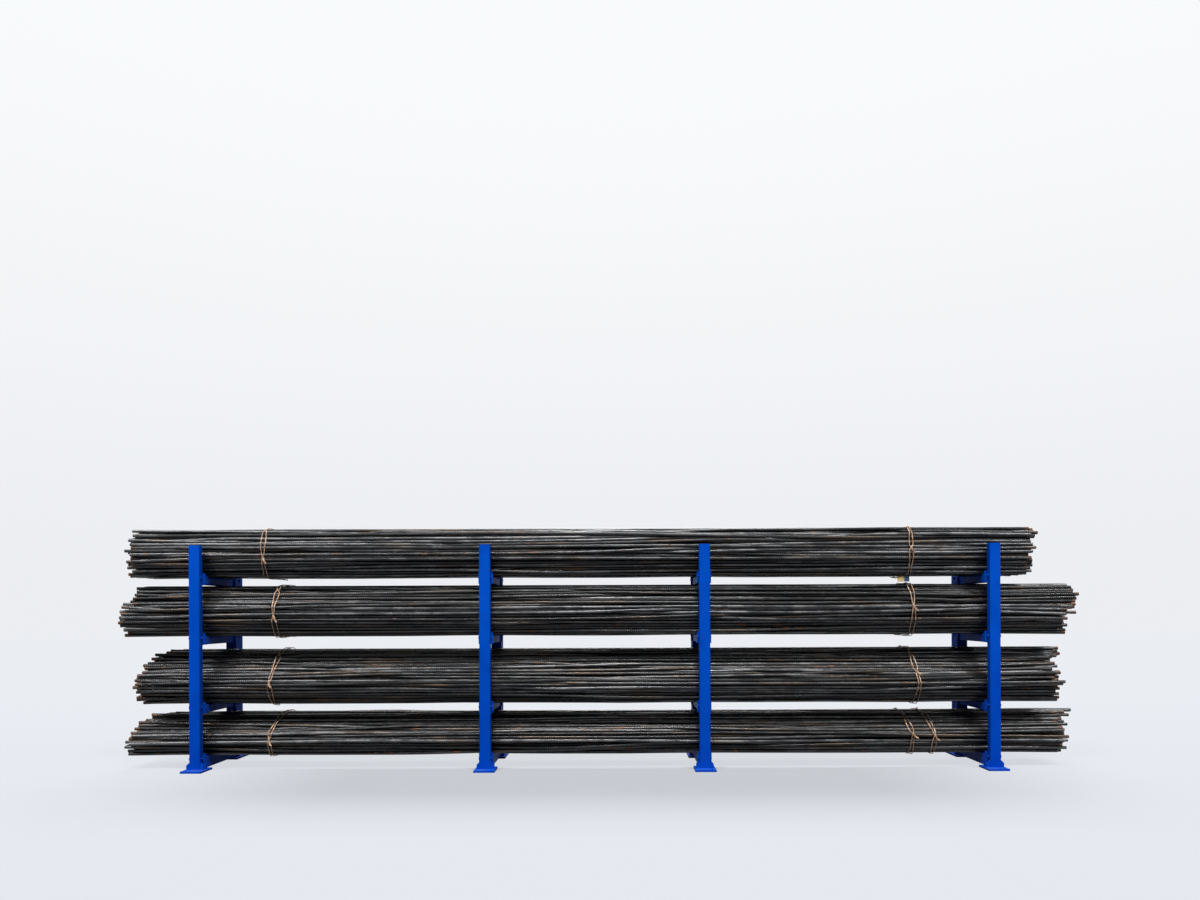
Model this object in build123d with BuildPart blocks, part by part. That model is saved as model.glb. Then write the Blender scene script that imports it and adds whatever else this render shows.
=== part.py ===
import os

from build123d import *

# Four bundles of reinforcing bar on a blue steel bar rack.
# Millimetres. X runs along the bars, Y goes from the front of the rack to its back, Z is up from the floor.

# Bars
bar_d = 22.0
bar_gap = 0.6
bar_pitch = bar_d + bar_gap
row_rise = bar_pitch * 3**0.5 / 2

# Posts, rectangular tube, deeper at the rear
post_w = 70.0
front_post_d = 50.0
rear_post_d = 120.0
post_wall = 4.0
post_corner = 7.0
cap_t = 4.0
post_over_top_arm = 198.0

# Spacing of the four frames
outer_bay = 1860.0
middle_bay = 1410.0
clear_depth = 500.0

# Feet
plate_w = 134.0
front_plate_d = 170.0
rear_plate_d = 240.0
plate_t = 12.0
plate_corner = 5.0
anchor_hole_d = 14.0
anchor_edge = 24.0
anchor_spacing = 76.0
gusset_t = 8.0
gusset_h = 44.0
gusset_margin = 12.0
gusset_chamfer = 16.0
gusset_inset = 4.0

# Base beams and arms, rectangular tube as wide as the posts
beam_wall = 4.0
beam_corner = 6.0
base_top = 90.0
arm_h = 52.0

# Cheek brackets beside the ends of beams and arms, and bolts through the posts
bracket_t = 11.0
bracket_over = 22.0
bracket_reach = 30.0
bracket_nose = 6.0
bolt_d = 12.0
bolt_play = 0.4
bolt_below_top = 10.0
nut_across_corners = 20.0
nut_t = 8.0

# Bundles, from the floor up: rows of bars, room above, room to the posts, height share of the widest row,
# depth shares of the lowest and the highest row, lean of the part above the widest row to the back
rows = (13, 18, 17, 16)
room_above = (21.0, 38.0, 1.0)
side_room = (15.0, 11.0, 13.0, 15.0)
widest_at = (0.50, 0.40, 0.46, 0.50)
bottom_share = (0.74, 0.68, 0.74, 0.78)
top_share = (0.16, 0.22, 0.46, 0.70)
lean_share = (0.50, 0.36, 0.06, 0.0)
crown_power = 2.0
crown_fullness = 0.7
seat_gap = 0.3
bracket_clear = 1.0

# Bar lengths, place of each bundle along X from the rack's middle, push of its upper half to the right and of
# its lower half to the left, further push of its crest, height share where the crest begins, scatter of the ends
bar_length = (6088.0, 5984.0, 6138.0, 5857.0)
bundle_x = (14.0, 19.0, 21.0, -95.0)
upper_push = (8.0, 7.0, 32.0, 0.0)
crest_push = (180.0, 130.0, 25.0, 40.0)
crest_from = 0.77
end_scatter = (26.0, 36.0, 28.0, 32.0)
scatter_step = 7
golden_ratio = 0.6180339887

# Tie wires, from the floor up: how far they lie inside the outer frames
wire_d = 6.0
strand_apart = 20.0
left_tie_inset = (451.0, 457.0, 486.0, 417.0)
right_tie_inset = (508.0, 469.0, 502.0, 515.0)
second_tie_step = 142.0

# Tag hanging from the right tie of the top bundle
tag_w = 80.0
tag_h = 38.0
tag_t = 1.2
tag_hole_d = 8.0
tag_hole_inset = 9.0

os.makedirs("parts", exist_ok=True)

# Heights of the four levels: top of the base beams, then of the three arms
level_top = [base_top]
bundle_height = []
for n in range(4):
    bundle_height.append(bar_d + (rows[n] - 1) * row_rise)
    if n < 3:
        level_top.append(level_top[n] + seat_gap + bundle_height[n] + room_above[n] + arm_h)
post_top = level_top[3] + post_over_top_arm

# Depth positions: inner faces of the posts, then the posts. The longer rear feet set the load off the origin
load_y = (front_post_d + front_plate_d - rear_post_d - rear_plate_d) / 4
front_face = load_y - clear_depth / 2
rear_face = load_y + clear_depth / 2
front_y = front_face - front_post_d / 2
rear_y = rear_face + rear_post_d / 2
uprights = (
    ("front", front_y, front_post_d, front_plate_d, -1),
    ("rear", rear_y, rear_post_d, rear_plate_d, 1),
)


def golden_spread(index):
    """A number from -1 to 1 that scatters evenly as index counts up."""
    return 2.0 * ((index * golden_ratio) % 1.0) - 1.0


def half_depth(n, share):
    """Half the depth of bundle n at a share of its height."""
    wide = widest_at[n]
    if share < wide:
        end, away = bottom_share[n], (wide - share) / wide
    else:
        end, away = top_share[n], (share - wide) / (1.0 - wide)
    widest = clear_depth / 2 - side_room[n]
    return widest * (end + (1.0 - end) * (1.0 - away**crown_power) ** crown_fullness)


def bundle_bars(n):
    """The bars of bundle n as lattice cells: row and half-pitch column to (y, z, start of the bar in X)."""
    cells = {}
    first_z = level_top[n] + seat_gap + bar_d / 2
    columns = int(clear_depth / bar_pitch)
    for row in range(rows[n]):
        share = row / (rows[n] - 1)
        middle = lean_share[n] * clear_depth * max(0.0, share - widest_at[n])
        keep_off = side_room[n] if row else bracket_reach + bracket_clear
        room = clear_depth / 2 - keep_off - middle
        reach = min(half_depth(n, share), room) - bar_d / 2
        for column in range(-columns, columns + 1):
            if (column + row) % 2:
                continue
            y = column * bar_pitch / 2
            if abs(y - middle) > reach:
                continue
            push = upper_push[n] if share > 0.5 else -upper_push[n]
            push += crest_push[n] * max(0.0, share - crest_from) / (1.0 - crest_from)
            scatter = end_scatter[n] * golden_spread(len(cells) + scatter_step * n)
            start = bundle_x[n] + push + scatter - bar_length[n] / 2
            cells[(row, column)] = (load_y + y, first_z + row * row_rise, start)
    return cells


def is_inner(cells, cell):
    """True where a bar has all six neighbours."""
    row, column = cell
    around = ((0, -2), (0, 2), (1, -1), (1, 1), (-1, -1), (-1, 1))
    return all((row + a, column + b) in cells for a, b in around)


def hull(points):
    """The corners of the convex outline of points, anticlockwise."""
    ends = []
    for ordered in (sorted(points), sorted(points, reverse=True)):
        chain = []
        for q in ordered:
            while len(chain) > 1:
                (ax, ay), (bx, by) = chain[-2], chain[-1]
                if (bx - ax) * (q[1] - ay) - (by - ay) * (q[0] - ax) > 1e-6:
                    break
                chain.pop()
            chain.append(q)
        ends += chain[:-1]
    return ends


bundles = [bundle_bars(n) for n in range(4)]

# The origin lies under the middle of the load's length, so the rack stands a little off it
x_low = min(bar[2] for cells in bundles for bar in cells.values())
x_high = max(bar[2] + bar_length[n] for n in range(4) for bar in bundles[n].values())
rack_x = -(x_low + x_high) / 2
frame_x = [
    rack_x - middle_bay / 2 - outer_bay,
    rack_x - middle_bay / 2,
    rack_x + middle_bay / 2,
    rack_x + middle_bay / 2 + outer_bay,
]

# Through bolts, at post mid-depth near the top of each beam and arm
bolt_spots = [(y, top - bolt_below_top) for y in (front_y, rear_y) for top in level_top]
bolt_hole_d = bolt_d + 2 * bolt_play

# Posts
for i in range(4):
    for where, y, post_d, plate_d, outward in uprights:
        with BuildPart() as post:
            with BuildSketch(Plane.XY.offset(plate_t)):
                with Locations((frame_x[i], y)):
                    RectangleRounded(post_w, post_d, post_corner)
                    RectangleRounded(
                        post_w - 2 * post_wall,
                        post_d - 2 * post_wall,
                        post_corner - post_wall,
                        mode=Mode.SUBTRACT,
                    )
            extrude(amount=post_top - cap_t - plate_t)
            with BuildSketch(Plane.YZ.offset(frame_x[i] - post_w)):
                with Locations([(y, top - bolt_below_top) for top in level_top]):
                    Circle(bolt_hole_d / 2)
            extrude(amount=2 * post_w, mode=Mode.SUBTRACT)
        post.part.label = f"{where}_post_{i + 1}"
        export_step(post.part, f"parts/{where}_post_{i + 1}.step")

# Caps on the posts
with BuildPart() as caps:
    with BuildSketch(Plane.XY.offset(post_top - cap_t)):
        for where, y, post_d, plate_d, outward in uprights:
            with Locations([(x, y) for x in frame_x]):
                RectangleRounded(post_w, post_d, post_corner)
    extrude(amount=cap_t)
caps.part.label = "post_caps"
export_step(caps.part, "parts/post_caps.step")

# Base plates, with two anchor holes on the side away from the load
for i in range(4):
    for where, y, post_d, plate_d, outward in uprights:
        with BuildPart() as plate:
            with BuildSketch(Plane.XY):
                with Locations((frame_x[i], y)):
                    RectangleRounded(plate_w, plate_d, plate_corner)
                with Locations((frame_x[i], y + outward * (plate_d / 2 - anchor_edge))):
                    with GridLocations(anchor_spacing, 0, 2, 1):
                        Circle(anchor_hole_d / 2, mode=Mode.SUBTRACT)
            extrude(amount=plate_t)
        plate.part.label = f"{where}_base_plate_{i + 1}"
        export_step(plate.part, f"parts/{where}_base_plate_{i + 1}.step")

# Gussets on both sides of each post, two a side
gusset_reach = plate_w / 2 - gusset_margin
for i in range(4):
    with BuildPart() as gussets:
        for where, y, post_d, plate_d, outward in uprights:
            for face in (-1, 1):
                back = y + face * (post_d / 2 - gusset_inset - gusset_t / 2) + gusset_t / 2
                for side in (-1, 1):
                    near = frame_x[i] + side * post_w / 2
                    far = frame_x[i] + side * gusset_reach
                    with BuildSketch(Plane.XZ.offset(-back)):
                        with BuildLine():
                            Polyline(
                                (near, plate_t),
                                (far, plate_t),
                                (far, plate_t + gusset_h - gusset_chamfer),
                                (far - side * gusset_chamfer, plate_t + gusset_h),
                                (near, plate_t + gusset_h),
                                close=True,
                            )
                        make_face()
        extrude(amount=gusset_t)
    gussets.part.label = f"foot_gussets_{i + 1}"
    export_step(gussets.part, f"parts/foot_gussets_{i + 1}.step")

# Base beams and arms, tube between the front and the rear post
beam_names = ("base_beam", "arm_low", "arm_middle", "arm_high")
for i in range(4):
    for name, top in zip(beam_names, level_top):
        height = top - plate_t if name == "base_beam" else arm_h
        with BuildPart() as beam:
            with BuildSketch(Plane.XZ.offset(-rear_face)):
                with Locations((frame_x[i], top - height / 2)):
                    RectangleRounded(post_w, height, beam_corner)
                    RectangleRounded(
                        post_w - 2 * beam_wall,
                        height - 2 * beam_wall,
                        beam_corner - beam_wall,
                        mode=Mode.SUBTRACT,
                    )
            extrude(amount=clear_depth)
        beam.part.label = f"{name}_{i + 1}"
        export_step(beam.part, f"parts/{name}_{i + 1}.step")

# Cheek brackets on both sides of every beam end and arm end, against the post, sloping off above the arm
for i in range(4):
    with BuildPart() as brackets:
        for side in (-1, 1):
            inner = frame_x[i] + side * post_w / 2
            outer = inner + side * bracket_t
            for face, inward in ((front_face, 1), (rear_face, -1)):
                tip = face + inward * bracket_reach
                for top in level_top:
                    with BuildSketch(Plane.YZ.offset(min(inner, outer))):
                        with BuildLine():
                            Polyline(
                                (face, top - arm_h),
                                (tip, top - arm_h),
                                (tip, top),
                                (face + inward * bracket_nose, top + bracket_over),
                                (face, top + bracket_over),
                                close=True,
                            )
                        make_face()
        extrude(amount=bracket_t)
    brackets.part.label = f"arm_brackets_{i + 1}"
    export_step(brackets.part, f"parts/arm_brackets_{i + 1}.step")

# Bolts through the posts with a head on one side and a nut on the other
grip = post_w / 2
for i in range(4):
    with BuildPart() as bolts:
        with BuildSketch(Plane.YZ.offset(frame_x[i] - grip)):
            with Locations(bolt_spots):
                Circle(bolt_d / 2)
        extrude(amount=2 * grip)
        with BuildSketch(Plane.YZ.offset(frame_x[i] - grip - nut_t)):
            with Locations(bolt_spots):
                RegularPolygon(nut_across_corners / 2, 6)
        extrude(amount=nut_t)
        with BuildSketch(Plane.YZ.offset(frame_x[i] + grip)):
            with Locations(bolt_spots):
                RegularPolygon(nut_across_corners / 2, 6)
        extrude(amount=nut_t)
    bolts.part.label = f"arm_bolts_{i + 1}"
    export_step(bolts.part, f"parts/arm_bolts_{i + 1}.step")

# Bars. Bundle 1 is the top one, bundle 4 lies on the base beams
for n in range(4):
    cells = bundles[n]
    for name, wanted in (("outer_bars", False), ("inner_bars", True)):
        with BuildPart() as bars:
            for cell, (y, z, start) in cells.items():
                if is_inner(cells, cell) == wanted:
                    with BuildSketch(Plane.YZ.offset(rack_x + start)):
                        with Locations((y, z)):
                            Circle(bar_d / 2)
            extrude(amount=bar_length[n], clean=False)
        bars.part.label = f"bundle_{4 - n}_{name}"
        export_step(bars.part, f"parts/bundle_{4 - n}_{name}.step")

# Tie wires, two strands side by side around the outline of each bundle
tie_off = bar_d / 2 + seat_gap + wire_d / 2
for n in range(4):
    outline = hull([(y, z) for y, z, start in bundles[n].values()])
    spots = [frame_x[0] + left_tie_inset[n], frame_x[3] - right_tie_inset[n]]
    if n == 0:
        spots.append(spots[1] + second_tie_step)
    with BuildPart() as ties:
        for spot in spots:
            for side in (-1, 1):
                at = Plane.YZ.offset(spot + side * strand_apart / 2)
                with BuildLine(at) as loop:
                    Polyline(*outline, close=True)
                    offset(amount=tie_off, kind=Kind.ARC, mode=Mode.REPLACE)
                run = loop.wires()[0]
                with BuildSketch(Plane(origin=run @ 0, z_dir=run % 0)):
                    Circle(wire_d / 2)
                sweep(path=run, clean=False)
    ties.part.label = f"bundle_{4 - n}_ties"
    export_step(ties.part, f"parts/bundle_{4 - n}_ties.step")

# Tag hanging under the right tie of the top bundle
lowest_row = [y for y, z, start in bundles[3].values() if z < level_top[3] + seat_gap + bar_d]
tag_top = level_top[3] + seat_gap + bar_d / 2 - tie_off - wire_d / 2 - seat_gap
tag_right = frame_x[3] - right_tie_inset[3] + strand_apart / 2
with BuildPart() as tag:
    with BuildSketch(Plane.XZ.offset(-min(lowest_row))):
        with Locations((tag_right - tag_w / 2, tag_top - tag_h / 2)):
            RectangleRounded(tag_w, tag_h, tag_t)
            with Locations((tag_w / 2 - tag_hole_inset, tag_h / 2 - tag_hole_inset)):
                Circle(tag_hole_d / 2, mode=Mode.SUBTRACT)
    extrude(amount=tag_t)
tag.part.label = "mill_tag"
export_step(tag.part, "parts/mill_tag.step")

print("levels", [round(v, 2) for v in level_top], "post top", round(post_top, 2))
print("frames", [round(v, 3) for v in frame_x], "bars", [len(cells) for cells in bundles])
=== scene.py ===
import math

import bpy
import numpy as np
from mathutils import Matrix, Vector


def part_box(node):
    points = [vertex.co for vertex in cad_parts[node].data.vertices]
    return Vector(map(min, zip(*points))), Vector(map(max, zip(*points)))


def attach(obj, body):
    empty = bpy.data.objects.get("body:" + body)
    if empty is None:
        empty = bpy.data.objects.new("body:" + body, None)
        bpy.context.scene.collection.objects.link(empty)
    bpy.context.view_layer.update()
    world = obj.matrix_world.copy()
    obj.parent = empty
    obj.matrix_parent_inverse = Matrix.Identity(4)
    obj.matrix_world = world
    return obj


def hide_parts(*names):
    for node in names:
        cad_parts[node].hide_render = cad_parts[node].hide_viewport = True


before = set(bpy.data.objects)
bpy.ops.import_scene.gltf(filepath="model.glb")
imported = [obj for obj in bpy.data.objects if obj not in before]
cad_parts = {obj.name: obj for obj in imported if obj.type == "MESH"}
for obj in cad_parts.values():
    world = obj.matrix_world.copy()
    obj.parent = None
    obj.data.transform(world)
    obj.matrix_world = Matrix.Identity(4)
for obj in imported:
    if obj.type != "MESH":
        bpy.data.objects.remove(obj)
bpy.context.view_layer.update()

# Lengths are in metres. Points of a CAD mesh that fall on one spot of this grid count as one point
FRAMES = range(1, 5)
BUNDLES = range(1, 5)
SPOTS_PER_METRE = 1e5

# Bars: their section, the sides and stations of the swept shape, their ribs
BAR_DIAMETER = 0.022
BAR_CORE_RADIUS = 0.0102
BAR_SEAM_HEIGHT = 0.0008
SEAM_FLANK = (0.93, 0.99)
OUTER_SIDES = 16
INNER_SIDES = 12
STATIONS = 49
INNER_STEP = 4
RIB_PITCH = 0.0135
RIB_SLANT = 1.9
RIB_HEIGHT = 0.0009
BAR_SEED = 11

# How bars lie: how often neighbours change places, how far bars stray, splay at their ends and sag
# between frames
CROSSING_CHANCE = 0.03
CROSSING_STATIONS = 7
STRAY = 0.0065
STRAY_WAVES = 5
END_SPLAY = 0.007
SPLAY_SHARE = 0.12
SAG = 0.004
SAG_BEGINS = 0.08
SAG_IS_FULL = 0.6

# How bars settle: reach of neighbours in bar diameters, then how hard a bar is drawn to its place,
# straightened and pushed off its neighbours in each round, and a gap that is never 0
TOUCHING_REACH = 1.2
NEIGHBOUR_REACH = 2.1
SETTLE_ROUNDS = 70
DRAW_TO_PLACE = 0.10
STRAIGHTEN = 0.15
PUSH_APART = 0.4
LEAST_GAP = 1e-6

# Random numbers of a bar: its tone times one of these, without the whole part
DARK_DRAW = 3.7
POLISH_DRAW = 5.1
RUSTY_TIP_DRAW = 7.3
SHEARED_DRAW = 9.1

# Ties: the wire, how its two strands swing off the tie's line, and how far they run between crossings
WIRE_RADIUS = 0.0027
WIRE_SIDES = 7
STRAND_SWING = 0.013
STRAND_LIFT = 0.0029
STRAND_WIDTH = 0.85
WIDTH_CHANGE = 0.25
WIDTH_WAVES = 5
HALF_TWIST = 0.27
TWIST_CHANGE = 0.5
TWIST_WAVES = 2
CROSSING_SHARPNESS = 4.0
TIE_POINTS = 260
TIE_DIRECTIONS = 720

# Knots: height shares from the left tie on, the outward Y from which a tie faces the front, the points beside
# a knot that give its direction, and the bend of its twisted ends, partly as shares of their length
KNOT_HEIGHTS = (0.42, 0.58, 0.5)
FACING_FRONT = -0.6
KNOT_REACH = 4
TAIL_LENGTH = 0.05
TAIL_PITCH = 0.017
TAIL_POINTS = 40
TAIL_CLEAR = 0.004
TAIL_RISE = 0.010
TAIL_DOWN = 0.85
TAIL_ASIDE = 0.45

# Weld beads: step, mean size and swell as shares of the ripple and of the radius
BEAD_RADIUS = 0.0032
BEAD_SIDES = 6
BEAD_RIPPLE = 0.006
BEAD_STEP = 0.34
BEAD_MEAN = 0.9
BEAD_SWELL = 0.14

# Tag: points across and down, curl of its free corner, bow and place of the colour change as shares
TAG_COLUMNS = 17
TAG_ROWS = 9
TAG_CURL = 0.009
TAG_BOW = 0.6
TAG_SPLIT = 0.55

# Faces that meet at less than this angle, in radians, are shaded as one
SMOOTH_ANGLE = 0.9

# Photograph's camera, in its 1200 by 900 pixels
IMAGE_WIDTH = 1200.0
IMAGE_HEIGHT = 900.0
SENSOR = 36.0
FOCAL_PIXELS = 900.0
AXIS_PIXEL = (617.0, 612.0)
CAMERA_BACK = 5.76
CAMERA_RIGHT = 0.143
CAMERA_HEIGHT = 1.016
CAMERA_ROLL = math.radians(0.19)
CAMERA_SEES = 400.0

# Lamps: strength, then in degrees softness, tilt from straight above to the front, lean to one side
LAMPS = {
    "front_lamp": (3.3, 12.0, 26.0, 0.0),
    "front_lamp_left": (2.2, 14.0, 26.0, -27.0),
    "front_lamp_right": (2.2, 14.0, 26.0, 27.0),
    "back_lamp": (3.4, 26.0, -38.0, 0.0),
}


def rgb(red, green, blue):
    """A colour given in the 0 to 255 numbers of a picture, as the linear colour that a shader takes."""
    parts = [c / 255.0 for c in (red, green, blue)]
    linear = [c / 12.92 if c <= 0.04045 else ((c + 0.055) / 1.055) ** 2.4 for c in parts]
    return (*linear, 1.0)


# Sky by height, from -1 to 1: pale behind the object, with a dark ceiling above that the steel reflects,
# and the weak fill light that it gives from the front and above
HORIZON_COLOUR = rgb(236, 238, 242)
SKY_COLOUR = rgb(248, 250, 251)
SKY_HEIGHTS = (0.0, 0.55)
CEILING_COLOUR = rgb(52, 54, 58)
CEILING_HEIGHTS = (0.6, 0.78)
FILL_COLOUR = rgb(240, 245, 252)
FILL_SIDE = 0.7
FILL_SPAN = (-0.6, 0.9)
FILL_LEAST = 0.02
FILL_MORE = 0.09

# Floor: its colours by depth, how bright the lamps make it, and the dull colour that lights the object
FLOOR_HALF = 60.0
FLOOR_FRONT_COLOUR = rgb(230, 233, 239)
FLOOR_BACK_COLOUR = rgb(234, 237, 242)
FLOOR_DEPTHS = (-3.0, 6.0)
HORIZON_DEPTHS = (4.0, 40.0)
FLOOR_LIGHT = 3.0
FLOOR_BOUNCE = rgb(64, 66, 70)

# Shares of the floor's look that shadows leave alone: everywhere, added under the load and far back, and
# the least share beside the ends of the load
EVEN_EVERYWHERE = 0.05
EVEN_UNDER_LOAD = 0.75
UNDER_LOAD_DEPTHS = (-0.28, -0.16)
EVEN_FAR_BACK = 0.2
FAR_BACK_DEPTHS = (1.5, 9.0)
EVEN_BESIDE = 0.85
BESIDE_REACH = (1.3, 3.1)


class Wire:
    """An output socket; arithmetic on it adds Math nodes to its tree."""

    def __init__(self, tree, socket):
        self.tree = tree
        self.socket = socket

    def other(self, name):
        """Another output of the same node."""
        return Wire(self.tree, self.socket.node.outputs[name])

    def math(self, operation, *values):
        """A Math node with this as its first value."""
        return self.tree.add("ShaderNodeMath", {"operation": operation}, dict(enumerate((self, *values))))

    def __add__(self, value):
        return self.math("ADD", value)

    def __radd__(self, value):
        return self.math("ADD", value)

    def __sub__(self, value):
        return self.math("SUBTRACT", value)

    def __rsub__(self, value):
        return self.tree.add("ShaderNodeMath", {"operation": "SUBTRACT"}, {0: value, 1: self})

    def __mul__(self, value):
        return self.math("MULTIPLY", value)

    def __rmul__(self, value):
        return self.math("MULTIPLY", value)

    def __truediv__(self, value):
        return self.math("DIVIDE", value)

    def __abs__(self):
        return self.math("ABSOLUTE")

    def over(self, value):
        """1 where this is greater than value, otherwise 0."""
        return self.math("GREATER_THAN", value)

    def redrawn(self, times):
        """Another number from 0 to 1, made from a random one."""
        return (self * times).math("FRACT")

    def ramp(self, low, high):
        """0 below low, 1 above high and smooth between."""
        values = {"Value": self, "From Min": low, "From Max": high}
        return self.tree.add("ShaderNodeMapRange", {"interpolation_type": "SMOOTHSTEP"}, values)


class Tree:
    """A node tree that nodes are added to."""

    def __init__(self, tree):
        self.tree = tree

    def add(self, kind, settings=None, values=None, out=0):
        """A new node with its settings, then its sockets' values or links; gives one of its outputs."""
        node = self.tree.nodes.new(kind)
        for name, value in (settings or {}).items():
            setattr(node, name, value)
        for key, value in (values or {}).items():
            if isinstance(value, Wire):
                self.tree.links.new(value.socket, node.inputs[key])
            else:
                node.inputs[key].default_value = value
        return Wire(self, node.outputs[out]) if node.outputs else node

    def mix(self, factor, first, second):
        """A colour between two colours."""
        return self.add("ShaderNodeMix", {"data_type": "RGBA"}, {0: factor, 6: first, 7: second}, 2)

    def vector(self, x, y, z):
        """A vector of three numbers."""
        return self.add("ShaderNodeCombineXYZ", None, {0: x, 1: y, 2: z})

    def scaled(self, vector, factor):
        """A vector or colour times a number."""
        return self.add("ShaderNodeVectorMath", {"operation": "SCALE"}, {0: vector, "Scale": factor})

    def circle(self, sides, radius):
        """A closed curve with this many points."""
        values = {"Resolution": sides, "Radius": radius}
        return self.add("GeometryNodeCurvePrimitiveCircle", {"mode": "RADIUS"}, values)

    def attribute(self, name, out="Fac"):
        """A number or vector that the mesh carries."""
        return self.add("ShaderNodeAttribute", {"attribute_name": name}, None, out)

    def carried(self, name, kind="FLOAT"):
        """A number or vector that the points of a geometry carry."""
        return self.add("GeometryNodeInputNamedAttribute", {"data_type": kind}, {"Name": name})

    def place(self):
        """Where a point of the surface lies."""
        return self.add("ShaderNodeTexCoord", None, None, "Object")

    def facing(self):
        """The X of the direction that the surface faces; Y and Z are other outputs."""
        normal = self.add("ShaderNodeNewGeometry", None, None, "Normal")
        return self.add("ShaderNodeSeparateXYZ", None, {0: normal})

    def seen_directly(self):
        """1 for what the camera sees, also in a reflection or through glass, otherwise 0."""
        path = self.add("ShaderNodeLightPath")
        mirrored = path.other("Is Glossy Ray").math("MAXIMUM", path.other("Is Transmission Ray"))
        return path.math("MAXIMUM", mirrored)

    def noise(self, where, scale, detail=3.0, roughness=0.55):
        """A soft random pattern."""
        values = {"Vector": where, "Scale": scale, "Detail": detail, "Roughness": roughness}
        return self.add("ShaderNodeTexNoise", None, values)

    def bump(self, strength, distance, height):
        """A surface direction bent by a height pattern."""
        values = {"Strength": strength, "Distance": distance, "Height": height}
        return self.add("ShaderNodeBump", None, values)


def new_material(name):
    """An empty node material and its tree."""
    material = bpy.data.materials.new(name)
    material.use_nodes = True
    material.node_tree.nodes.clear()
    return material, Tree(material.node_tree)


def finish_surface(tree, values):
    """A principled surface with these sockets, joined to the material's output."""
    shader = tree.add("ShaderNodeBsdfPrincipled", None, values)
    tree.add("ShaderNodeOutputMaterial", None, {"Surface": shader})


def bar_steel():
    """Dark rolled steel with ribs, loose scale, rust and sheared ends."""
    material, tree = new_material("ribbed_bar_steel")
    along = tree.attribute("along")
    tip = tree.attribute("tip")
    tone = tree.attribute("tone")
    side = tree.add("ShaderNodeSeparateXYZ", None, {0: tree.attribute("ring", "Vector")})
    up = side.other("Y")
    cut_face = abs(tree.facing()).ramp(0.8, 0.95)

    # Patterns that run along a bar, with a stretch of their own for each bar
    on_bar = tree.vector(along, side * 0.012 + tone * 31.0, up * 0.012 + tone * 17.0)
    scale_patches = tree.noise(on_bar, 6.0, 4.0).ramp(0.36, 0.66)
    fine_grain = tree.noise(on_bar, 160.0, 2.0)
    brown_lengths = tree.noise(on_bar, 2.2, 3.0).ramp(0.52, 0.70)
    rust_spots = tree.noise(on_bar, 13.0, 5.0, 0.62) + tone.ramp(0.7, 1.0) * 0.08
    rust = rust_spots.ramp(0.67, 0.76) * fine_grain.ramp(0.28, 0.55)
    near_tip = 1 - (tip + fine_grain * 0.02).ramp(0.012, 0.055)
    rusty_tip = near_tip * tone.redrawn(RUSTY_TIP_DRAW).ramp(0.3, 0.8)
    rust = rust.math("MAXIMUM", rusty_tip * 0.6)

    # Slanting ribs, crescents that run out at the seams and lean the other way on the bar's other half
    half = up.math("SIGN")
    wave = (along * (math.tau / RIB_PITCH) + side * half * RIB_SLANT + tone * 40.0).math("COSINE")
    crescent = abs(up).ramp(0.05, 0.85)
    rib = wave.ramp(0.15, 0.85) * crescent

    scale = tree.mix(scale_patches, rgb(50, 51, 53), rgb(94, 94, 95))
    scale = tree.mix(tone.redrawn(DARK_DRAW).ramp(0.1, 0.8) * 0.9, scale, rgb(16, 16, 17))
    scale = tree.mix(brown_lengths * 0.4, scale, rgb(84, 70, 56))
    polish = tree.mix(tone.redrawn(POLISH_DRAW), rgb(90, 91, 94), rgb(160, 159, 156))
    polish = tree.mix(brown_lengths * 0.7, polish, rgb(146, 118, 92))
    worn = tree.mix(rib.ramp(0.25, 0.8) * 0.35, scale, polish)
    rusty = tree.mix(fine_grain.ramp(0.35, 0.7), rgb(88, 54, 32), rgb(146, 98, 62))
    colour = tree.mix(rust * 0.8, worn, rusty)
    sheared = tree.mix(fine_grain.ramp(0.3, 0.7), rgb(104, 70, 46), rgb(140, 118, 100))
    sheared = tree.mix(tone.redrawn(SHEARED_DRAW).ramp(0.25, 0.85) * 0.8, sheared, rgb(74, 72, 71))
    colour = tree.mix(cut_face * 0.9, colour, sheared)
    finish_surface(tree, {
        "Base Color": colour,
        "Metallic": (1 - rust) * 0.6,
        "Roughness": rust * 0.3 + scale_patches * 0.12 + 0.2,
        "Specular IOR Level": 0.12,
        "Normal": tree.bump(1.0, RIB_HEIGHT, rib * (1 - cut_face) + fine_grain * 0.05),
    })
    return material


def tie_steel():
    """Annealed wire, brown with rust."""
    material, tree = new_material("rusty_tie_wire")
    place = tree.place()
    blotch = tree.noise(place, 34.0, 4.0).ramp(0.35, 0.68)
    grain = tree.noise(place, 420.0, 2.0)
    colour = tree.mix(blotch, rgb(134, 100, 76), rgb(214, 182, 152))
    colour = tree.mix(grain.ramp(0.45, 0.7) * 0.4, colour, rgb(96, 58, 36))
    finish_surface(tree, {
        "Base Color": colour,
        "Metallic": 0.1,
        "Roughness": blotch * 0.2 + 0.45,
        "Normal": tree.bump(0.6, 0.0004, grain),
    })
    return material


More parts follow.
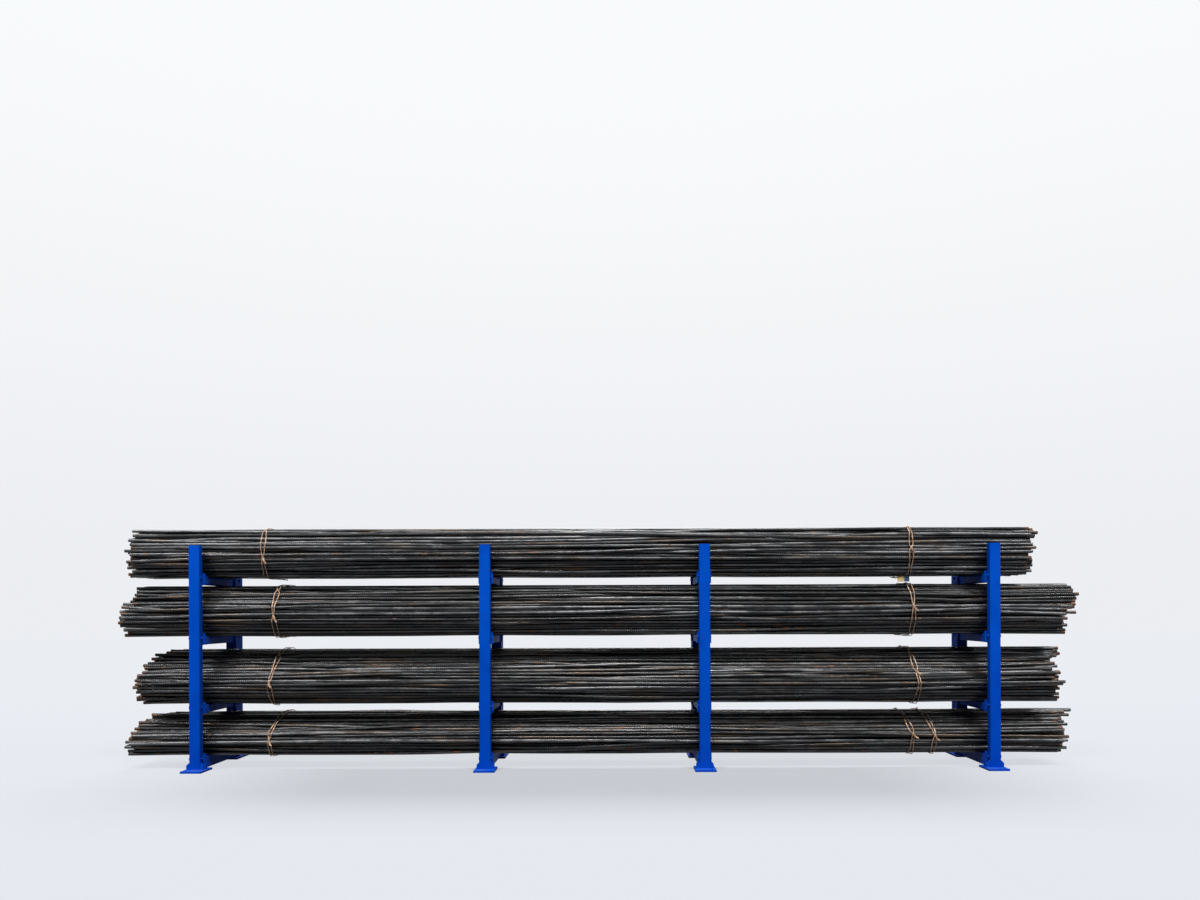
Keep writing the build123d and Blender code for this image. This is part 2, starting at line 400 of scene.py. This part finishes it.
def blue_paint():
    """Bright blue enamel, a little uneven, with painted shade that darkens it towards the floor and patches
    of grime, dust on what faces up and scuffs.
    """
    material, tree = new_material("rack_blue_paint")
    place = tree.place()
    height = tree.add("ShaderNodeSeparateXYZ", None, {0: place}, "Z")
    cloudy = tree.noise(place, 2.6, 4.0).ramp(0.3, 0.7)
    peel = tree.noise(place, 260.0, 2.0)
    scuff = tree.noise(place, 24.0, 6.0, 0.72).ramp(0.66, 0.74)
    # Painted shade: the paint darkens towards the floor, where less light reaches, plus random patches of
    # grime
    low_shade_and_grime = (1 - height.ramp(0.0, 1.3)) * 0.6 + tree.noise(place, 7.0, 5.0).ramp(0.45, 0.75) * 0.3
    facing_up = tree.facing().other("Z").ramp(0.4, 0.95)
    dust = facing_up * tree.noise(place, 13.0, 5.0).ramp(0.35, 0.7)
    paint = tree.mix(cloudy, rgb(1, 67, 170), rgb(2, 73, 181))
    paint = tree.mix(low_shade_and_grime, paint, rgb(0, 47, 143))
    paint = tree.mix(scuff * 0.35, paint, rgb(14, 40, 100))
    colour = tree.mix(dust * 0.3, paint, rgb(86, 100, 128))
    finish_surface(tree, {
        "Base Color": colour,
        "Roughness": cloudy * 0.1 + dust * 0.3 + 0.42,
        "Specular IOR Level": 0.02,
        "Normal": tree.bump(0.12, 0.0006, peel),
    })
    return material


def tag_sheet():
    """Plain two-tone tag sheet."""
    material, tree = new_material("plain_tag")
    place = tree.place()
    stain = tree.noise(place, 60.0, 4.0).ramp(0.4, 0.7)
    low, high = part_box("mill_tag")
    across = tree.add("ShaderNodeSeparateXYZ", None, {0: place})
    split = across.over(low.x + (high.x - low.x) * TAG_SPLIT)
    colour = tree.mix(split, rgb(196, 166, 104), rgb(40, 74, 112))
    colour = tree.mix(stain * 0.4, colour, rgb(92, 78, 60))
    finish_surface(tree, {"Base Color": colour, "Roughness": stain * 0.2 + 0.5})
    return material


def floor_paint():
    """Pale studio floor that takes the object's shadow and throws little light back up."""
    material, tree = new_material("pale_floor")
    sideways = tree.add("ShaderNodeSeparateXYZ", None, {0: tree.place()})
    backward = sideways.other("Y")
    colour = tree.mix(backward.ramp(*FLOOR_DEPTHS), FLOOR_FRONT_COLOUR, FLOOR_BACK_COLOUR)
    colour = tree.mix(backward.ramp(*HORIZON_DEPTHS), colour, HORIZON_COLOUR)
    shaded = tree.add("ShaderNodeBsdfDiffuse", None, {"Color": tree.scaled(colour, 1.0 / FLOOR_LIGHT)})
    glow = tree.add("ShaderNodeEmission", None, {"Color": colour})
    even = backward.ramp(*UNDER_LOAD_DEPTHS) * EVEN_UNDER_LOAD
    even = even + backward.ramp(*FAR_BACK_DEPTHS) * EVEN_FAR_BACK + EVEN_EVERYWHERE
    even = even.math("MAXIMUM", abs(sideways).ramp(*BESIDE_REACH) * EVEN_BESIDE)
    seen = tree.add("ShaderNodeMixShader", None, {0: even, 1: shaded, 2: glow})
    bounce = tree.add("ShaderNodeBsdfDiffuse", None, {"Color": FLOOR_BOUNCE})
    surface = tree.add("ShaderNodeMixShader", None, {0: tree.seen_directly(), 1: bounce, 2: seen})
    tree.add("ShaderNodeOutputMaterial", None, {"Surface": surface})
    return material


def pieces_of(node):
    """Lowest and highest corners of each separate solid in a CAD node."""
    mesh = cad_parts[node].data
    corners = np.zeros(len(mesh.vertices) * 3)
    mesh.vertices.foreach_get("co", corners)
    corners = corners.reshape(-1, 3)
    mesh.calc_loop_triangles()
    faces = np.zeros(len(mesh.loop_triangles) * 3, int)
    mesh.loop_triangles.foreach_get("vertices", faces)
    rounded = np.round(corners * SPOTS_PER_METRE).astype(int)
    spots, spot_of = np.unique(rounded, axis=0, return_inverse=True)
    spot_of = spot_of.reshape(-1)
    faces = spot_of[faces].reshape(-1, 3)
    label = np.arange(len(spots))
    while True:
        lowest = label[faces].min(axis=1)
        spread = label.copy()
        for k in range(3):
            np.minimum.at(spread, faces[:, k], lowest)
        if (spread == label).all():
            break
        label = spread
    boxes = []
    for mark in np.unique(label):
        own = corners[label[spot_of] == mark]
        boxes.append((own.min(axis=0), own.max(axis=0)))
    return np.array(boxes)


def smooth_rise(value, low, high):
    """0 below low, 1 above high and smooth between."""
    t = np.clip((value - low) / (high - low), 0.0, 1.0)
    return t * t * (3.0 - 2.0 * t)


class Bundle:
    """The bars of one bundle, read from the CAD solids and bent the way loose bars lie."""

    def __init__(self, number):
        self.number = number
        outer = pieces_of(f"bundle_{number}_outer_bars")
        inner = pieces_of(f"bundle_{number}_inner_bars")
        boxes = np.concatenate([outer, inner])
        self.is_outer = np.arange(len(boxes)) < len(outer)
        self.axis = boxes[:, :, 1:].mean(axis=1)
        share = np.linspace(0.0, 1.0, STATIONS)
        self.x = boxes[:, 0, :1] + (boxes[:, 1, :1] - boxes[:, 0, :1]) * share
        ties = pieces_of(f"bundle_{number}_ties")
        self.tie_x = np.sort(ties[:, :, 0].mean(axis=1)).reshape(-1, 2).mean(axis=1)
        self.rng = np.random.default_rng(BAR_SEED + number)
        self.tone = self.rng.random(len(boxes))
        self.roll = self.rng.random(len(boxes)) * math.tau
        self.apart = np.linalg.norm(self.axis[:, None] - self.axis[None], axis=2)
        self.slot = self.change_places()
        self.place = self.settle(self.wanted_place())

    def within(self, reach):
        """For each place in the bundle the other places closer than reach, in bar diameters."""
        return [np.nonzero((row > 0.0) & (row < reach * BAR_DIAMETER))[0] for row in self.apart]

    def change_places(self):
        """Which place in the bundle each bar takes at each station: now and then two neighbours cross."""
        count = len(self.axis)
        beside = self.within(TOUCHING_REACH)
        slot = np.zeros((count, STATIONS), int)
        middle = STATIONS // 2
        slot[:, middle] = np.arange(count)
        for way in (1, -1):
            stations = range(middle + way, STATIONS if way > 0 else -1, way)
            for station in stations:
                now = slot[:, station - way].copy()
                holder = np.argsort(now)
                busy = np.zeros(count, bool)
                for here in np.nonzero(self.rng.random(count) < CROSSING_CHANCE)[0]:
                    there = self.rng.choice(beside[here])
                    if busy[here] or busy[there]:
                        continue
                    busy[[here, there]] = True
                    now[holder[here]], now[holder[there]] = there, here
                slot[:, station] = now
        return slot

    def wanted_place(self):
        """Where each bar would lie if its neighbours let it."""
        count = len(self.axis)
        half = CROSSING_STATIONS // 2
        steps = self.axis[self.slot]
        padded = np.concatenate([steps[:, :1]] * half + [steps] + [steps[:, -1:]] * half, axis=1)
        wanted = sum(padded[:, k:k + STATIONS] for k in range(CROSSING_STATIONS)) / CROSSING_STATIONS
        share = np.linspace(0.0, 1.0, STATIONS)[None, :, None]
        for wave in range(1, STRAY_WAVES + 1):
            phase = self.rng.random((count, 1, 2)) * math.tau
            size = self.rng.normal(size=(count, 1, 2)) * STRAY / wave
            wanted = wanted + size * np.sin(math.pi * wave * share + phase)
        aim = self.rng.normal(size=(count, 2, 1, 2)) * END_SPLAY
        left = smooth_rise(SPLAY_SHARE - share, 0.0, SPLAY_SHARE) ** 2
        right = smooth_rise(share - (1.0 - SPLAY_SHARE), 0.0, SPLAY_SHARE) ** 2
        return (wanted + aim[:, 0] * left + aim[:, 1] * right).astype(np.float32)

    def neighbours(self):
        """For each bar, at each station, the bars close to it, filled up with the bar itself."""
        close = self.within(NEIGHBOUR_REACH)
        most = max(len(row) for row in close)
        filled = [np.concatenate([row, np.full(most - len(row), k)]) for k, row in enumerate(close)]
        holder = np.argsort(self.slot, axis=0)
        return holder[np.array(filled)[self.slot].transpose(0, 2, 1), np.arange(STATIONS)]

    def settle(self, wanted):
        """Pushes bars off each other, though some still overlap, and keeps them between posts and arms."""
        station = np.arange(STATIONS)
        near = self.neighbours()
        others = near != np.arange(len(near))[:, None, None]
        clear = np.float32(2.0 * BAR_CORE_RADIUS + BAR_SEAM_HEIGHT)
        front, back, low, high = self.rack_limits()
        place = wanted.copy()
        for turn in range(SETTLE_ROUNDS):
            ease = 1.0 - turn / SETTLE_ROUNDS
            place += np.float32(DRAW_TO_PLACE * ease) * (wanted - place)
            bend = np.zeros_like(place)
            bend[:, 1:-1] = place[:, :-2] - 2.0 * place[:, 1:-1] + place[:, 2:]
            place += np.float32(STRAIGHTEN) * bend
            y, z = place[:, :, 0], place[:, :, 1]
            gap_y = y[near, station] - y[:, None]
            gap_z = z[near, station] - z[:, None]
            size = np.sqrt(gap_y**2 + gap_z**2) + np.float32(LEAST_GAP)
            push = np.float32(PUSH_APART) * np.maximum(clear - size, 0.0) / size * others
            y -= (gap_y * push).sum(axis=1)
            z -= (gap_z * push).sum(axis=1)
            np.clip(y, front, back, out=y)
            np.clip(z, low, high, out=z)
        return place

    def rack_limits(self):
        """How far to the front, to the back, down and up a bar's middle may lie."""
        radius = BAR_CORE_RADIUS + BAR_SEAM_HEIGHT
        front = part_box("front_post_1")[1].y + radius
        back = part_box("rear_post_1")[0].y - radius
        carriers = ("arm_high", "arm_middle", "arm_low", "base_beam")
        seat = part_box(f"{carriers[self.number - 1]}_1")[1].z
        frame_x = np.array([sum(c.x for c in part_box(f"front_post_{i}")) / 2 for i in FRAMES])
        gap = np.abs(self.x[:, :, None] - frame_x).min(axis=2)
        low = seat + radius - SAG * smooth_rise(gap, SAG_BEGINS, SAG_IS_FULL)
        high = self.axis[:, 1].max() - SAG
        return front, back, low.astype(np.float32), high

    def section(self, x):
        """Where every bar's middle lies in the cross-section at x."""
        spots = []
        for own_x, own_place in zip(self.x, self.place):
            spots.append([np.interp(x, own_x, own_place[:, k]) for k in (0, 1)])
        return np.array(spots)


def new_object(name, points, edges, faces):
    """A mesh object at the origin."""
    mesh = bpy.data.meshes.new(name)
    mesh.from_pydata(points, edges, faces)
    item = bpy.data.objects.new(name, mesh)
    bpy.context.scene.collection.objects.link(item)
    return item


def bake(item):
    """Gives an object the plain mesh that its modifiers make, and removes them."""
    graph = bpy.context.evaluated_depsgraph_get()
    mesh = bpy.data.meshes.new_from_object(item.evaluated_get(graph))
    item.modifiers.clear()
    item.data = mesh


def linked_points(name, runs):
    """A mesh object of edge runs; each run is its points, the numbers they carry and whether it closes."""
    points, edges, carried = [], [], {}
    for spots, numbers, closed in runs:
        first = len(points)
        points.extend(tuple(spot) for spot in spots)
        last = len(points) - 1
        edges.extend((k, k + 1) for k in range(first, last))
        if closed:
            edges.append((last, first))
        for key, value in numbers.items():
            carried.setdefault(key, []).append(value)
    item = new_object(name, points, edges, [])
    for key, values in carried.items():
        values = np.concatenate(values).astype(np.float32)
        is_vector = values.ndim == 2
        attribute = item.data.attributes.new(key, "FLOAT_VECTOR" if is_vector else "FLOAT", "POINT")
        attribute.data.foreach_set("vector" if is_vector else "value", values.reshape(-1))
    return item


def new_geometry_tree(name, inputs):
    """A geometry tree with these inputs, as (tree, wires of the inputs by name)."""
    group = bpy.data.node_groups.new(name, "GeometryNodeTree")
    group.interface.new_socket("Geometry", in_out="INPUT", socket_type="NodeSocketGeometry")
    for label, kind in inputs.items():
        group.interface.new_socket(label, in_out="INPUT", socket_type=kind)
    group.interface.new_socket("Geometry", in_out="OUTPUT", socket_type="NodeSocketGeometry")
    tree = Tree(group)
    start = tree.add("NodeGroupInput")
    return tree, {label: start.other(label) for label in ("Geometry", *inputs)}


def end_geometry_tree(tree, shape, material):
    """Smooth but for steep edges, realized and with its material, as the tree's result."""
    angle = tree.add("GeometryNodeInputMeshEdgeAngle")
    gentle = tree.add("FunctionNodeCompare", {"operation": "LESS_THAN"}, {"A": angle, "B": SMOOTH_ANGLE})
    values = {"Geometry": shape, "Shade Smooth": gentle}
    shape = tree.add("GeometryNodeSetShadeSmooth", {"domain": "EDGE"}, values)
    real = tree.add("GeometryNodeRealizeInstances", None, {"Geometry": shape})
    real = tree.add("GeometryNodeSetMaterial", None, {"Geometry": real, "Material": material})
    tree.add("NodeGroupOutput", None, {"Geometry": real})
    return tree.tree


def bar_tree():
    """Sweeps a bar's section, with its two long seams, along every run of points."""
    tree, given = new_geometry_tree("ribbed_bars", {
        "Core Radius": "NodeSocketFloat",
        "Seam Height": "NodeSocketFloat",
        "Sides": "NodeSocketInt",
        "Material": "NodeSocketMaterial",
    })
    lines = tree.add("GeometryNodeMeshToCurve", None, {"Mesh": given["Geometry"]})
    lines = tree.add("GeometryNodeSetCurveTilt", None, {"Curve": lines, "Tilt": tree.carried("roll")})
    section = tree.circle(given["Sides"], given["Core Radius"])
    spot = tree.add("GeometryNodeInputPosition")
    outward = tree.add("ShaderNodeVectorMath", {"operation": "NORMALIZE"}, {0: spot})
    settings = {"data_type": "FLOAT_VECTOR", "domain": "POINT"}
    section = tree.add("GeometryNodeStoreNamedAttribute", settings, {
        "Geometry": section, "Name": "ring", "Value": outward,
    })
    side = tree.add("ShaderNodeSeparateXYZ", None, {0: outward})
    seam = abs(side).ramp(*SEAM_FLANK) * given["Seam Height"]
    lift = tree.scaled(outward, seam)
    section = tree.add("GeometryNodeSetPosition", None, {"Geometry": section, "Offset": lift})
    swept = tree.add("GeometryNodeCurveToMesh", None, {
        "Curve": lines, "Profile Curve": section, "Fill Caps": True,
    })
    return end_geometry_tree(tree, swept, given["Material"])


def tie_tree():
    """Two wires side by side along a run of points, which change sides and pass over each other in turn."""
    tree, given = new_geometry_tree("twisted_ties", {
        "Wire Radius": "NodeSocketFloat",
        "Swing": "NodeSocketFloat",
        "Lift": "NodeSocketFloat",
        "Material": "NodeSocketMaterial",
    })
    loop = tree.add("GeometryNodeMeshToCurve", None, {"Mesh": given["Geometry"]})
    turn = tree.carried("turn")
    width = tree.carried("width")
    outward = tree.carried("outward", "FLOAT_VECTOR")
    section = tree.circle(WIRE_SIDES, given["Wire Radius"])
    sway = (turn.math("COSINE") * CROSSING_SHARPNESS).math("TANH")
    join = tree.tree.nodes.new("GeometryNodeJoinGeometry")
    for way in (-1.0, 1.0):
        across = tree.vector(sway * given["Swing"] * width * way, 0.0, 0.0)
        lift = tree.scaled(outward, turn.math("SINE") * given["Lift"] * way)
        off = tree.add("ShaderNodeVectorMath", {"operation": "ADD"}, {0: across, 1: lift})
        strand = tree.add("GeometryNodeSetPosition", None, {"Geometry": loop, "Offset": off})
        swept = tree.add("GeometryNodeCurveToMesh", None, {
            "Curve": strand, "Profile Curve": section, "Fill Caps": True,
        })
        tree.tree.links.new(swept.socket, join.inputs[0])
    return end_geometry_tree(tree, Wire(tree, join.outputs[0]), given["Material"])


def bead_tree():
    """Sweeps a rippled bead along every joint line."""
    tree, given = new_geometry_tree("weld_beads", {
        "Bead Radius": "NodeSocketFloat",
        "Ripple": "NodeSocketFloat",
        "Material": "NodeSocketMaterial",
    })
    lines = tree.add("GeometryNodeMeshToCurve", None, {"Mesh": given["Geometry"]})
    lines = tree.add("GeometryNodeResampleCurve", {"mode": "LENGTH"}, {
        "Curve": lines, "Length": given["Ripple"] * BEAD_STEP,
    })
    travelled = tree.add("GeometryNodeSplineParameter", None, None, "Length")
    swell = (travelled / given["Ripple"] * math.tau).math("COSINE") * BEAD_SWELL + BEAD_MEAN
    section = tree.circle(BEAD_SIDES, given["Bead Radius"])
    swept = tree.add("GeometryNodeCurveToMesh", None, {
        "Curve": lines, "Profile Curve": section, "Scale": swell, "Fill Caps": True,
    })
    return end_geometry_tree(tree, swept, given["Material"])


def grow(carrier, group, inputs):
    """Turns a carrier object into the plain mesh that a geometry tree makes of it."""
    modifier = carrier.modifiers.new("grow", "NODES")
    modifier.node_group = group
    for item in group.interface.items_tree:
        if item.item_type == "SOCKET" and item.in_out == "INPUT" and item.name in inputs:
            modifier[item.identifier] = inputs[item.name]
    bake(carrier)
    return carrier


def add_piece(item, slot, *nodes):
    """The piece rides with the rack and stands for the CAD nodes named, if any, which are hidden; its slot is
    not used.
    """
    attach(item, "root")
    if nodes:
        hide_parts(*nodes)


def add_bars(bundle, group, material):
    """Outer and inner bars of a bundle."""
    kinds = (
        ("outer", bundle.is_outer, 1, OUTER_SIDES),
        ("inner", ~bundle.is_outer, INNER_STEP, INNER_SIDES),
    )
    for kind, chosen, step, sides in kinds:
        runs = []
        for k in np.nonzero(chosen)[0]:
            x = bundle.x[k, ::step]
            spots = np.column_stack([x, bundle.place[k, ::step]])
            numbers = {
                "along": x - x[0],
                "tip": np.minimum(x - x[0], x[-1] - x),
                "tone": np.full(len(x), bundle.tone[k]),
                "roll": np.full(len(x), bundle.roll[k]),
            }
            runs.append((spots, numbers, False))
        name = f"bundle_{bundle.number}_{kind}_bars"
        bars = grow(linked_points(f"ribbed_{name}", runs), group, {
            "Core Radius": BAR_CORE_RADIUS,
            "Seam Height": BAR_SEAM_HEIGHT,
            "Sides": sides,
            "Material": material,
        })
        add_piece(bars, "bar_steel", name)


def outline(spots, margin):
    """A closed run of points round a section's bars, at a margin, its outward directions and its length."""
    around = np.linspace(0.0, math.tau, TIE_DIRECTIONS, endpoint=False)
    compass = np.column_stack([np.cos(around), np.sin(around)])
    corners = spots[np.argmax(spots @ compass.T, axis=0)]
    ring = corners + margin * compass
    steps = np.linalg.norm(np.diff(ring, axis=0, append=ring[:1]), axis=1)
    travelled = np.concatenate([[0.0], np.cumsum(steps)])
    want = np.linspace(0.0, travelled[-1], TIE_POINTS, endpoint=False)
    closed = np.vstack([ring, ring[:1]])
    turned = np.vstack([compass, compass[:1]])
    points = np.column_stack([np.interp(want, travelled, closed[:, k]) for k in (0, 1)])
    outward = np.column_stack([np.interp(want, travelled, turned[:, k]) for k in (0, 1)])
    return points, outward / np.linalg.norm(outward, axis=1)[:, None], travelled[-1]


def knot_place(ring, away, height):
    """Which point of a tie is its knot, at a share of its height on the bundle's front."""
    facing = np.nonzero(away[:, 1] < FACING_FRONT)[0]
    wanted = ring[:, 2].min() + height * np.ptp(ring[:, 2])
    return facing[np.argmin(np.abs(ring[facing, 2] - wanted))]


def twisted_ends(ring, away, knot):
    """The two ends of a tie, twisted together at its knot and bent down over the front of the bundle."""
    beside = ring[(knot + KNOT_REACH) % len(ring)] - ring[knot - KNOT_REACH]
    downward = -np.sign(beside[2]) * beside / np.linalg.norm(beside)
    share = np.linspace(0.0, 1.0, TAIL_POINTS)
    path = ring[knot] + np.outer(TAIL_CLEAR + TAIL_RISE * share, away[knot])
    aside = (TAIL_ASIDE, 0.0, 0.0)
    path += TAIL_LENGTH * (np.outer(share, TAIL_DOWN * downward) + np.outer(share**2, aside))
    numbers = {
        "turn": math.tau * TAIL_LENGTH / TAIL_PITCH * share,
        "outward": np.tile(away[knot], (TAIL_POINTS, 1)),
        "width": np.full(TAIL_POINTS, STRAND_LIFT / STRAND_SWING),
    }
    return path, numbers, False


def add_ties(bundle, group, material):
    """The doubled wires round a bundle, each with its twisted ends."""
    runs = []
    margin = BAR_CORE_RADIUS + BAR_SEAM_HEIGHT + WIRE_RADIUS + STRAND_LIFT
    share = np.linspace(0.0, 1.0, TIE_POINTS, endpoint=False)
    for x, height in zip(bundle.tie_x, KNOT_HEIGHTS):
        points, outward, girth = outline(bundle.section(x), margin)
        first, second = bundle.rng.random(2) * math.tau
        twists = round(girth / HALF_TWIST / 2)
        ring = np.column_stack([np.full(TIE_POINTS, x), points])
        away = np.column_stack([np.zeros(TIE_POINTS), outward])
        knot = knot_place(ring, away, height)
        turn = math.tau * twists * share + TWIST_CHANGE * np.sin(math.tau * TWIST_WAVES * share + first)
        numbers = {
            "turn": turn - turn[knot] + math.pi / 2,
            "outward": away,
            "width": STRAND_WIDTH + WIDTH_CHANGE * np.sin(math.tau * WIDTH_WAVES * share + second),
        }
        runs.append((ring, numbers, True))
        runs.append(twisted_ends(ring, away, knot))
    name = f"bundle_{bundle.number}_ties"
    ties = grow(linked_points(f"twisted_{name}", runs), group, {
        "Wire Radius": WIRE_RADIUS,
        "Swing": STRAND_SWING,
        "Lift": STRAND_LIFT,
        "Material": material,
    })
    add_piece(ties, "tie_wire", name)


def frame_joints(i):
    """The welded lines of one frame: posts and gussets on the base plates, arms under their ends."""
    lines = []
    for where in ("front", "rear"):
        low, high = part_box(f"{where}_post_{i}")
        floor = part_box(f"{where}_base_plate_{i}")[1].z
        turns = ((low.x, low.y), (high.x, low.y), (high.x, high.y), (low.x, high.y))
        lines.append(([(x, y, floor) for x, y in turns], {}, True))
        middle = (low.x + high.x) / 2
    for low, high in pieces_of(f"foot_gussets_{i}"):
        near, far = (low[0], high[0]) if low[0] > middle else (high[0], low[0])
        for y in (low[1], high[1]):
            lines.append(([(far, y, low[2]), (near, y, low[2]), (near, y, high[2])], {}, False))
    for name in ("arm_low", "arm_middle", "arm_high"):
        low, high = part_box(f"{name}_{i}")
        for y in (low.y, high.y):
            lines.append(([(low.x, y, low.z), (high.x, y, low.z)], {}, False))
    return lines


def add_welds(group, material):
    """Weld beads of all frames."""
    lines = [line for i in FRAMES for line in frame_joints(i)]
    beads = grow(linked_points("frame_welds", lines), group, {
        "Bead Radius": BEAD_RADIUS,
        "Ripple": BEAD_RIPPLE,
        "Material": material,
    })
    add_piece(beads, "blue_paint")


def add_tag(material):
    """The mill tag, a thin sheet that has curled a little."""
    low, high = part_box("mill_tag")
    points = []
    for z in np.linspace(low.z, high.z, TAG_ROWS):
        hang = (high.z - z) / (high.z - low.z)
        for x in np.linspace(low.x, high.x, TAG_COLUMNS):
            away = (x - low.x) / (high.x - low.x)
            curl = hang * (1.0 - away) + TAG_BOW * math.sin(math.pi * away)
            points.append((x, low.y - TAG_CURL * curl, z))
    faces = []
    for row in range(TAG_ROWS - 1):
        for column in range(TAG_COLUMNS - 1):
            corner = row * TAG_COLUMNS + column
            faces.append((corner, corner + 1, corner + TAG_COLUMNS + 1, corner + TAG_COLUMNS))
    tag = new_object("hanging_tag", points, [], faces)
    tag.data.materials.append(material)
    tag.data.shade_smooth()
    sheet = tag.modifiers.new("thickness", "SOLIDIFY")
    sheet.thickness = high.y - low.y
    bake(tag)
    add_piece(tag, "tag_sheet", "mill_tag")


def paint_rack(material):
    """Gives the CAD pieces of the rack their paint."""
    for name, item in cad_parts.items():
        if name.startswith("bundle_") or name == "mill_tag":
            continue
        item.data.materials.clear()
        item.data.materials.append(material)


def add_floor(material):
    """A wide floor at the height the feet stand on."""
    turns = ((-1, -1), (1, -1), (1, 1), (-1, 1))
    corners = [(x * FLOOR_HALF, y * FLOOR_HALF, 0.0) for x, y in turns]
    floor = new_object("studio_floor", corners, [], [(0, 1, 2, 3)])
    floor.data.materials.append(material)


def add_lamp(name, strength, softness, tilt, lean):
    """A sun off straight above; a positive tilt brings its light from the front, a lean from one side."""
    lamp = bpy.data.lights.new(name, "SUN")
    lamp.energy = strength
    lamp.angle = math.radians(softness)
    holder = bpy.data.objects.new(name, lamp)
    holder.rotation_euler = (math.radians(tilt), math.radians(lean), 0.0)
    bpy.context.scene.collection.objects.link(holder)


def add_light():
    """A row of lamps above the front, one above the back, and a pale sky that shows as the background."""
    for name, values in LAMPS.items():
        add_lamp(name, *values)
    world = bpy.data.worlds.new("studio_sky")
    bpy.context.scene.world = world
    world.use_nodes = True
    world.node_tree.nodes.clear()
    tree = Tree(world.node_tree)
    direction = tree.add("ShaderNodeTexCoord", None, None, "Generated")
    backward = tree.add("ShaderNodeSeparateXYZ", None, {0: direction}, "Y")
    height = backward.other("Z")
    seen = tree.mix(height.ramp(*SKY_HEIGHTS), HORIZON_COLOUR, SKY_COLOUR)
    seen = tree.mix(height.ramp(*CEILING_HEIGHTS), seen, CEILING_COLOUR)
    shown = tree.add("ShaderNodeBackground", None, {"Color": seen, "Strength": 1.0})
    fill = (height * FILL_SIDE - backward * FILL_SIDE).ramp(*FILL_SPAN) * FILL_MORE + FILL_LEAST
    lighting = tree.add("ShaderNodeBackground", None, {"Color": FILL_COLOUR, "Strength": fill})
    surface = tree.add("ShaderNodeMixShader", None, {0: tree.seen_directly(), 1: lighting, 2: shown})
    tree.add("ShaderNodeOutputWorld", None, {"Surface": surface})


def add_camera():
    """The photograph's camera: low and square to the rack, rolled by a hair, with a shifted lens."""
    middle_x = (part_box("front_post_1")[0].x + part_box("front_post_4")[1].x) / 2
    front_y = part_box("front_post_1")[0].y
    camera = bpy.data.cameras.new("photograph")
    camera.sensor_width = SENSOR
    camera.lens = FOCAL_PIXELS / IMAGE_WIDTH * SENSOR
    camera.shift_x = (IMAGE_WIDTH / 2 - AXIS_PIXEL[0]) / IMAGE_WIDTH
    camera.shift_y = (AXIS_PIXEL[1] - IMAGE_HEIGHT / 2) / IMAGE_WIDTH
    camera.clip_end = CAMERA_SEES
    holder = bpy.data.objects.new("photograph", camera)
    holder.location = (middle_x + CAMERA_RIGHT, front_y - CAMERA_BACK, CAMERA_HEIGHT)
    holder.rotation_euler = (math.pi / 2, CAMERA_ROLL, 0.0)
    bpy.context.scene.collection.objects.link(holder)
    bpy.context.scene.camera = holder


def main():
    """Dresses the rack and its load, then sets the studio and the camera."""
    bars = bar_tree()
    ties = tie_tree()
    steel = bar_steel()
    wire = tie_steel()
    for number in BUNDLES:
        bundle = Bundle(number)
        add_bars(bundle, bars, steel)
        add_ties(bundle, ties, wire)
    paint = blue_paint()
    paint_rack(paint)
    add_welds(bead_tree(), paint)
    add_tag(tag_sheet())
    add_floor(floor_paint())
    add_light()
    add_camera()
    bpy.context.scene.view_settings.view_transform = "Standard"


main()
